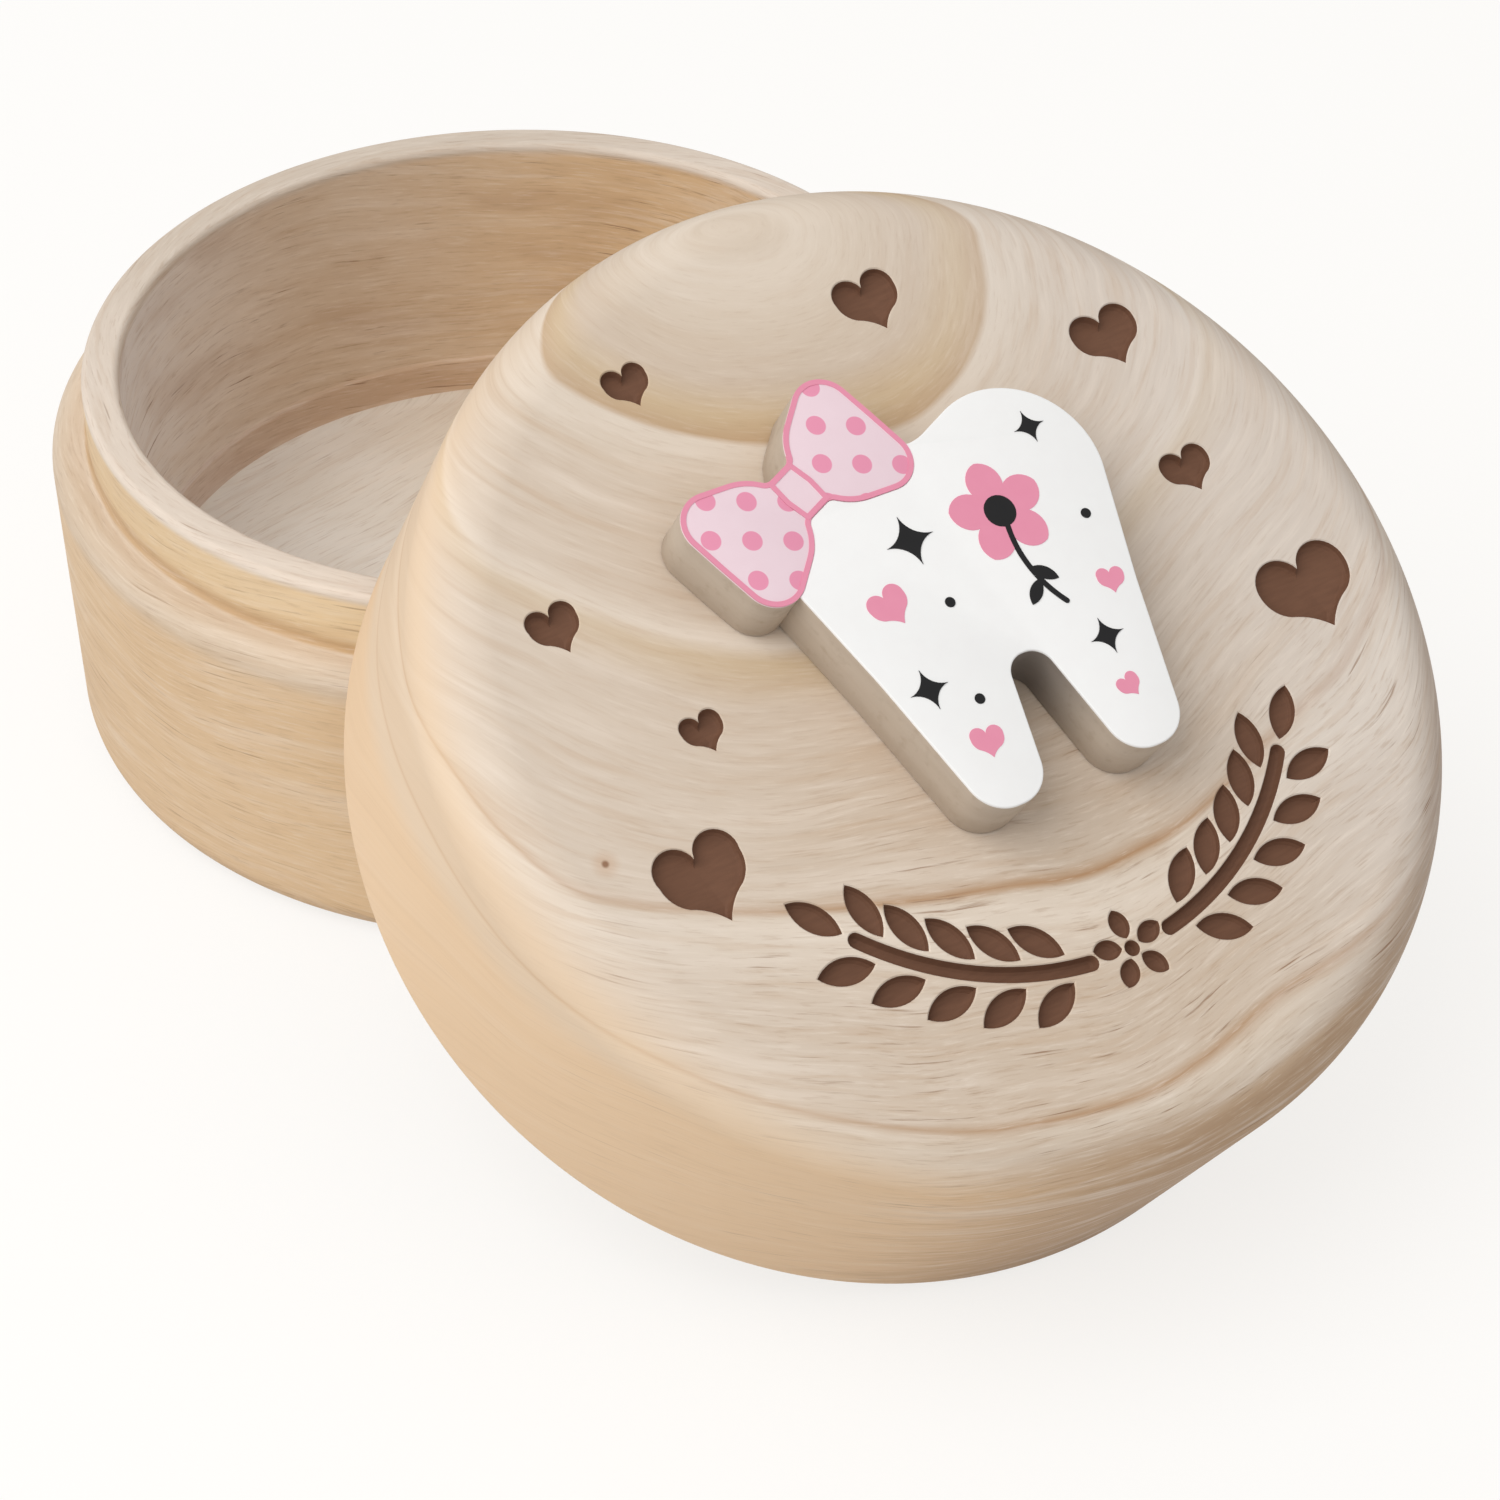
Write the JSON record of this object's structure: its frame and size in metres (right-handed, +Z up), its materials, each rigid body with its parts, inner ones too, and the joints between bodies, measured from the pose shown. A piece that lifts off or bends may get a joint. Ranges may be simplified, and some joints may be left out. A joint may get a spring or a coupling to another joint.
{
  "type": "keepsake box",
  "caption": "Round turned wooden tooth keepsake box with a lift-off lid that leans on the cup, engraved hearts and a tooth-shaped board.",
  "frame": {"origin": "middle of the cup's underside, on the floor", "axes": "+Z up along the cup's turning axis; the lid leans out towards -Y; +X is the right-hand side of the picture on the lid's crown"},
  "size_m": [0.0604, 0.1032, 0.0473],
  "materials": {
    "cup_wood": "matte",
    "lid_wood": "matte",
    "board_wood": "matte",
    "white_paint": "satin",
    "pink_paint": "satin",
    "glue": "satin"
  },
  "bodies": {
    "cup": {"cup": "cup_wood"},
    "lid": {"lid": "lid_wood", "glue_film": "glue", "tooth_board": "board_wood", "tooth_paint": "white_paint", "bow_paint": "pink_paint"}
  },
  "joints": [
    {"name": "lid_lift", "type": "slide", "parent": "cup", "child": "lid", "axis": [0, 0, 1], "range_m": [0, 0.05]}
  ]
}
